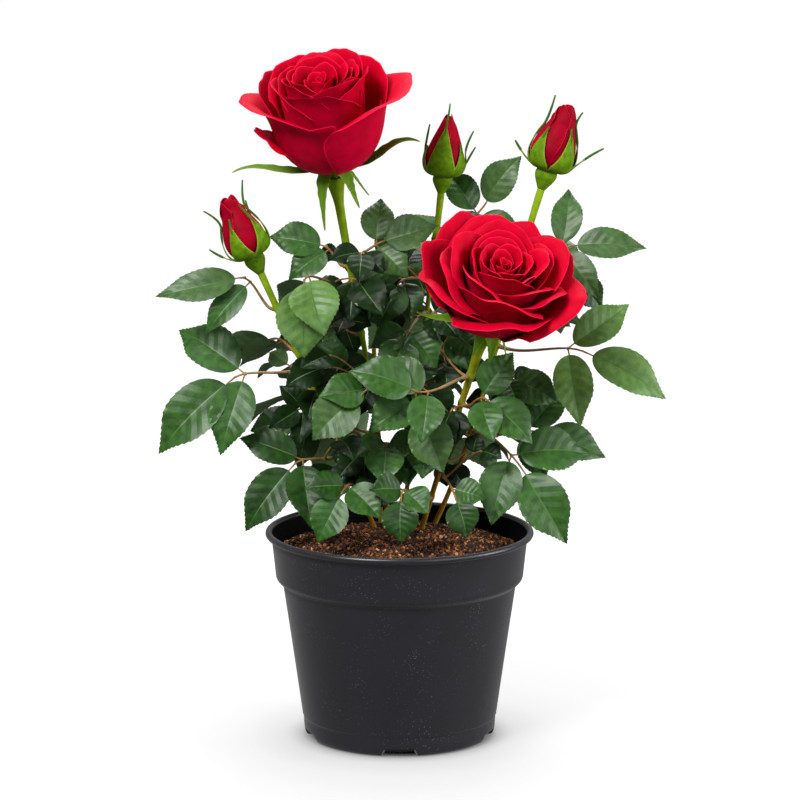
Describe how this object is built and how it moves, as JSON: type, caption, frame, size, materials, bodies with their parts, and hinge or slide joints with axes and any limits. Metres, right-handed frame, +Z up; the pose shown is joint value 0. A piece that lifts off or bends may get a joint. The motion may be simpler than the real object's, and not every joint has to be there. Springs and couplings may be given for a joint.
{
  "type": "potted rose bush",
  "caption": "Small rose bush in bloom in a round nursery pot: leafy canes with open red blooms and pointed buds.",
  "frame": {"origin": "centre of the pot's flat underside", "axes": "+Z up along the pot's axis, -Y towards the side that the lower bloom leans to, +X to the right seen from there"},
  "size_m": [0.32, 0.2344, 0.4366],
  "materials": {
    "pot_plastic": "semi-gloss charcoal black",
    "bark_mix": "coarse moist bark and fibre",
    "cane_bark": "green bark, orange-brown low down",
    "petals": "velvety crimson",
    "bud_petals": "velvety dark crimson",
    "leaves": "glossy dark green"
  },
  "bodies": {
    "root": {"nursery_pot": "pot_plastic", "potting_mix": "bark_mix", "cane_left": "cane_bark", "cane_upper": "cane_bark", "cane_right": "cane_bark", "cane_centre": "cane_bark", "cane_far_right": "cane_bark", "cane_back": "cane_bark", "bloom_upper": "petals", "bloom_right": "petals", "bud_left": "bud_petals", "bud_centre": "bud_petals", "bud_far_right": "bud_petals", "foliage_left_upper": "leaves", "foliage_left_middle": "leaves", "foliage_left_dark": "leaves", "foliage_left_lower": "leaves", "foliage_front_left": "leaves", "foliage_front": "leaves", "foliage_front_right": "leaves", "foliage_right_lower": "leaves", "foliage_right_fan": "leaves", "foliage_right_inner": "leaves", "foliage_right_middle": "leaves", "foliage_right_dark": "leaves", "foliage_right_upper": "leaves", "foliage_right_behind": "leaves", "foliage_top_right": "leaves", "foliage_top_centre": "leaves", "foliage_upper_left": "leaves", "foliage_upper_front": "leaves", "foliage_centre_upper": "leaves", "foliage_centre_right": "leaves", "foliage_centre": "leaves", "foliage_centre_left": "leaves", "foliage_low_centre": "leaves", "foliage_low_right": "leaves", "foliage_middle_high": "leaves", "foliage_middle_left": "leaves", "foliage_middle_right": "leaves", "foliage_core_right": "leaves", "foliage_core_low": "leaves", "foliage_upper_dark": "leaves", "foliage_back_high": "leaves", "foliage_back_top": "leaves", "foliage_back_middle": "leaves", "foliage_back_left": "leaves", "foliage_back_low": "leaves", "foliage_back_right": "leaves", "foliage_low_back": "leaves", "foliage_side_left": "leaves", "foliage_back_centre": "leaves", "foliage_upper_back": "leaves"}
  },
  "joints": []
}
